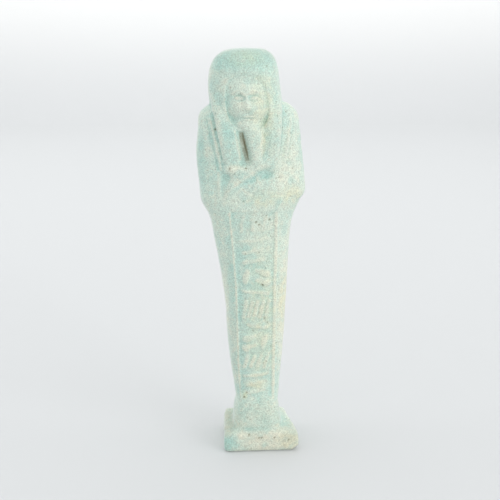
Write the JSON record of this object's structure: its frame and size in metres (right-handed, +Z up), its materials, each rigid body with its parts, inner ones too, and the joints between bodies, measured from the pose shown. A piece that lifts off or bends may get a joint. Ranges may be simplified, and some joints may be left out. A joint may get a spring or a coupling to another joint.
{
  "type": "ushabti figurine",
  "caption": "Mummiform servant figure in pale turquoise faience, arms crossed, standing on its own base with a plain back pillar.",
  "frame": {"origin": "centre of the base's flat underside, on the surface that the figurine stands on", "axes": "+Z up from the base to the top of the wig; the figure faces -Y, its back pillar faces +Y, and +X is towards its own left arm"},
  "size_m": [0.0318, 0.0189, 0.12],
  "materials": {
    "faience": "worn matte glaze over a granular body, pale turquoise with cream and yellowish patches"
  },
  "bodies": {
    "root": {"ushabti_figurine": "faience"}
  },
  "joints": []
}
